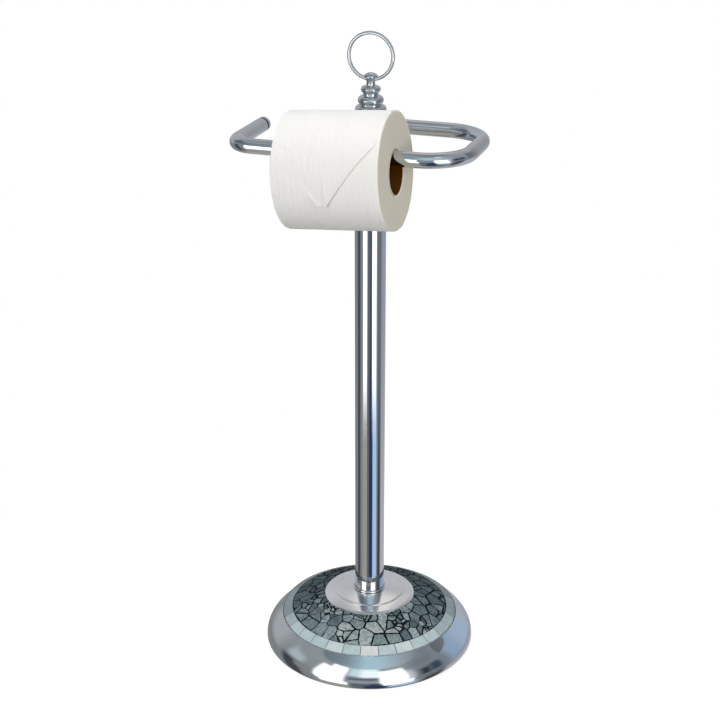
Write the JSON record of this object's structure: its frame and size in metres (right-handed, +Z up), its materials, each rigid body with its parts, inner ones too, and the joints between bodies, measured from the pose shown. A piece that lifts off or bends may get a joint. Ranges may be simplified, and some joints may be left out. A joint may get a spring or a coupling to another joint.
{
  "type": "freestanding toilet paper holder",
  "caption": "Freestanding toilet paper holder: domed mosaic base, straight chrome pole, bent tube arm that carries a paper roll, and a turned finial with a lifting ring.",
  "frame": {"origin": "on the floor, under the pole's axis, at the middle of the base's foam pad", "axes": "+Z up along the pole; +X along the arm's bars towards the closed U-bend; -Y towards the bar that carries the roll, which is the picture's front"},
  "size_m": [0.243, 0.2862, 0.6714],
  "materials": {
    "polished_chrome": "polished chrome plate on steel tube, spun steel and turned brass",
    "satin_plate": "satin plated stamped steel",
    "cast_iron": "bare casting, painted dark",
    "foam_pad": "black closed-cell foam rubber",
    "dark_mortar": "near-black grout",
    "crackled_stone": "grey-green marbled stone, broken into pieces and polished",
    "border_glass": "pale grey-green, blue and pinkish tiles with a soft gloss",
    "zinc_plated": "zinc plated steel",
    "cardboard": "brown spiral-wound board",
    "tissue_paper": "warm white embossed tissue"
  },
  "bodies": {
    "stand": {"base_shell": "polished_chrome", "base_weight": "cast_iron", "base_pad": "foam_pad", "mosaic_bed": "dark_mortar", "crackle_mosaic": "crackled_stone", "border_tile_01": "border_glass", "border_tile_02": "border_glass", "border_tile_03": "border_glass", "border_tile_04": "border_glass", "border_tile_05": "border_glass", "border_tile_06": "border_glass", "border_tile_07": "border_glass", "border_tile_08": "border_glass", "border_tile_09": "border_glass", "border_tile_10": "border_glass", "border_tile_11": "border_glass", "border_tile_12": "border_glass", "border_tile_13": "border_glass", "border_tile_14": "border_glass", "border_tile_15": "border_glass", "border_tile_16": "border_glass", "border_tile_17": "border_glass", "border_tile_18": "border_glass", "border_tile_19": "border_glass", "border_tile_20": "border_glass", "border_tile_21": "border_glass", "border_tile_22": "border_glass", "border_tile_23": "border_glass", "border_tile_24": "border_glass", "border_tile_25": "border_glass", "border_tile_26": "border_glass", "border_tile_27": "border_glass", "border_tile_28": "border_glass", "border_tile_29": "border_glass", "border_tile_30": "border_glass", "centre_plate": "satin_plate", "base_washer": "zinc_plated", "base_bolt": "zinc_plated", "pole_tube": "polished_chrome", "pole_collar": "polished_chrome", "pole_foot_insert": "zinc_plated", "pole_top_insert": "zinc_plated", "finial_stud": "zinc_plated", "finial": "polished_chrome", "carry_ring": "polished_chrome", "arm_tube": "polished_chrome", "arm_root_plug": "zinc_plated", "arm_screw": "polished_chrome", "arm_end_cap": "polished_chrome"},
    "roll": {"cardboard_core": "cardboard", "paper_roll": "tissue_paper", "loose_leaf": "tissue_paper"}
  },
  "joints": [
    {"name": "roll_spin", "type": "hinge", "parent": "stand", "child": "roll", "pos_m": [0.0112, -0.1166, 0.5678], "axis": [1, 0, 0], "continuous": true}
  ]
}
